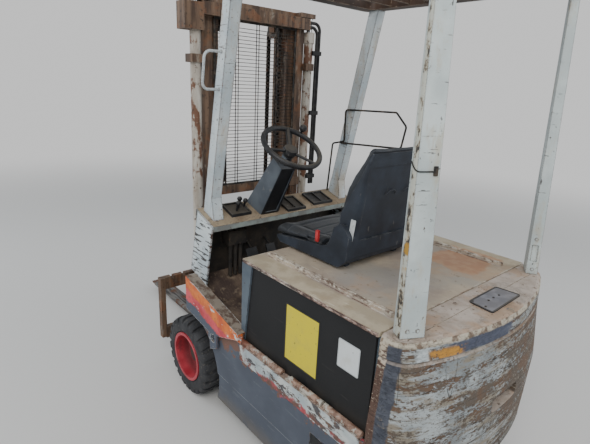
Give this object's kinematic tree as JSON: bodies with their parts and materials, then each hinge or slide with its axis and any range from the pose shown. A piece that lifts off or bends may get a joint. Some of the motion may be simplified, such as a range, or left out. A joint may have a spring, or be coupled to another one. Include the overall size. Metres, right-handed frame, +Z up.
{
  "type": "electric counterbalance forklift truck",
  "caption": "Sit-down electric counterbalance forklift with overhead guard, two-stage tilting mast, fork carriage, hinged battery hood and steered rear wheels.",
  "frame": {"origin": "on the floor, at the middle of the whole truck's length and width", "axes": "+X forward towards the fork tips, +Y to the driver's left, +Z up"},
  "size_m": [2.7775, 1.13, 2.134],
  "materials": {
    "side_paint": "worn blue-grey paint",
    "fender_paint": "worn orange and red paint over blue-grey",
    "pale_paint": "chipped pale blue-white paint",
    "hood_paint": "dusty beige paint",
    "counterweight_paint": "layered flaking white, blue-grey and brown paint",
    "black_panel": "satin black",
    "dark_frame": "dark grease and dust",
    "roof_paint": "dark brown dusty paint",
    "mast_steel": "rust brown and greasy",
    "cylinder_paint": "off-white paint with rust",
    "rod_chrome": "hard chrome",
    "chain_steel": "oiled",
    "rim_red": "red paint",
    "tyre_rubber": "worn solid rubber",
    "hose_rubber": "matt",
    "seat_vinyl": "dark blue-grey vinyl",
    "seat_plastic": "dark blue-grey moulding",
    "column_plastic": "blue-grey moulding",
    "black_plastic": "black",
    "battery_case": "grey",
    "wire_steel": "dark wire"
  },
  "bodies": {
    "chassis": {"side_panels": "side_paint", "front_fenders": "fender_paint", "sills": "pale_paint", "battery_box": "side_paint", "battery_side_panels": "black_panel", "battery": "battery_case", "counterweight": "counterweight_paint", "counterweight_fittings": "black_panel", "floor_plate": "dark_frame", "main_frame": "dark_frame", "front_bulkhead": "dark_frame", "cowl_beam": "pale_paint", "cowl_legs": "pale_paint", "guard_posts_front": "pale_paint", "guard_posts_rear": "pale_paint", "guard_roof": "roof_paint", "steering_column": "column_plastic", "cowl_controls": "black_plastic", "pedals": "black_plastic", "document_frame": "wire_steel", "drive_axle": "dark_frame", "steer_axle": "dark_frame"},
    "hood": {"battery_hood": "hood_paint", "seat_shell": "seat_plastic", "seat_cushion": "seat_vinyl", "seat_backrest": "seat_vinyl"},
    "steering": {"steering_wheel": "black_plastic"},
    "front_wheel_left": {"front_rim_left": "rim_red", "front_tyre_left": "tyre_rubber"},
    "front_wheel_right": {"front_rim_right": "rim_red", "front_tyre_right": "tyre_rubber"},
    "knuckle_left": {"steer_knuckle_left": "dark_frame"},
    "knuckle_right": {"steer_knuckle_right": "dark_frame"},
    "rear_wheel_left": {"rear_rim_left": "rim_red", "rear_tyre_left": "tyre_rubber"},
    "rear_wheel_right": {"rear_rim_right": "rim_red", "rear_tyre_right": "tyre_rubber"},
    "mast_outer": {"mast_outer_frame": "mast_steel", "lift_cylinders": "cylinder_paint", "mast_mesh_guard": "wire_steel", "mast_hoses": "hose_rubber", "lift_chains_rear": "chain_steel"},
    "mast_inner": {"mast_inner_frame": "mast_steel", "chain_pulleys": "chain_steel", "lift_rods": "rod_chrome", "lift_chains_front": "chain_steel"},
    "carriage": {"carriage_frame": "mast_steel", "forks": "mast_steel"},
    "tilt_barrels": {"tilt_cylinder_barrels": "mast_steel"},
    "tilt_rods": {"tilt_cylinder_rods": "rod_chrome"}
  },
  "joints": [
    {"name": "hood_hinge", "type": "hinge", "parent": "chassis", "child": "hood", "pos_m": [-1.166, 0, 0.945], "axis": [0, -1, 0], "range_deg": [0, 70]},
    {"name": "steering_turn", "type": "hinge", "parent": "chassis", "child": "steering", "pos_m": [-0.259, 0.133, 1.386], "axis": [-0.5299, 0, 0.848], "continuous": true},
    {"name": "mast_tilt", "type": "hinge", "parent": "chassis", "child": "mast_outer", "pos_m": [0.191, 0, 0.23], "axis": [0, 1, 0], "range_deg": [-8, 5]},
    {"name": "inner_lift", "type": "slide", "parent": "mast_outer", "child": "mast_inner", "axis": [0, 0, 1], "range_m": [0, 1.45], "deforming": ["lift_chains_rear"]},
    {"name": "carriage_lift", "type": "slide", "parent": "mast_inner", "child": "carriage", "axis": [0, 0, 1], "range_m": [0, 1.45], "deforming": ["lift_chains_front"]},
    {"name": "tilt_barrel_swing", "type": "hinge", "parent": "chassis", "child": "tilt_barrels", "pos_m": [-0.194, 0, 0.43], "axis": [0, 1, 0], "range_deg": [-4, 4]},
    {"name": "tilt_rod_slide", "type": "slide", "parent": "tilt_barrels", "child": "tilt_rods", "axis": [0.995, 0, 0.1002], "range_m": [-0.06, 0.06]},
    {"name": "front_wheel_turn_left", "type": "hinge", "parent": "chassis", "child": "front_wheel_left", "pos_m": [0.056, 0.47, 0.22], "axis": [0, 1, 0], "continuous": true},
    {"name": "steer_left", "type": "hinge", "parent": "chassis", "child": "knuckle_left", "pos_m": [-1.079, 0.325, 0.19], "axis": [0, 0, 1], "range_deg": [-65, 65]},
    {"name": "rear_wheel_turn_left", "type": "hinge", "parent": "knuckle_left", "child": "rear_wheel_left", "pos_m": [-1.079, 0.44, 0.19], "axis": [0, 1, 0], "continuous": true},
    {"name": "front_wheel_turn_right", "type": "hinge", "parent": "chassis", "child": "front_wheel_right", "pos_m": [0.056, -0.47, 0.22], "axis": [0, 1, 0], "continuous": true},
    {"name": "steer_right", "type": "hinge", "parent": "chassis", "child": "knuckle_right", "pos_m": [-1.079, -0.325, 0.19], "axis": [0, 0, 1], "range_deg": [-65, 65]},
    {"name": "rear_wheel_turn_right", "type": "hinge", "parent": "knuckle_right", "child": "rear_wheel_right", "pos_m": [-1.079, -0.44, 0.19], "axis": [0, 1, 0], "continuous": true}
  ],
  "couplings": [
    {"joint": "carriage_lift", "follows": "inner_lift", "ratio": 1},
    {"joint": "tilt_barrel_swing", "follows": "mast_tilt", "ratio": 0.07108},
    {"joint": "tilt_rod_slide", "follows": "mast_tilt", "m_per_rad": 0.23843},
    {"joint": "steer_right", "follows": "steer_left", "ratio": 1}
  ]
}
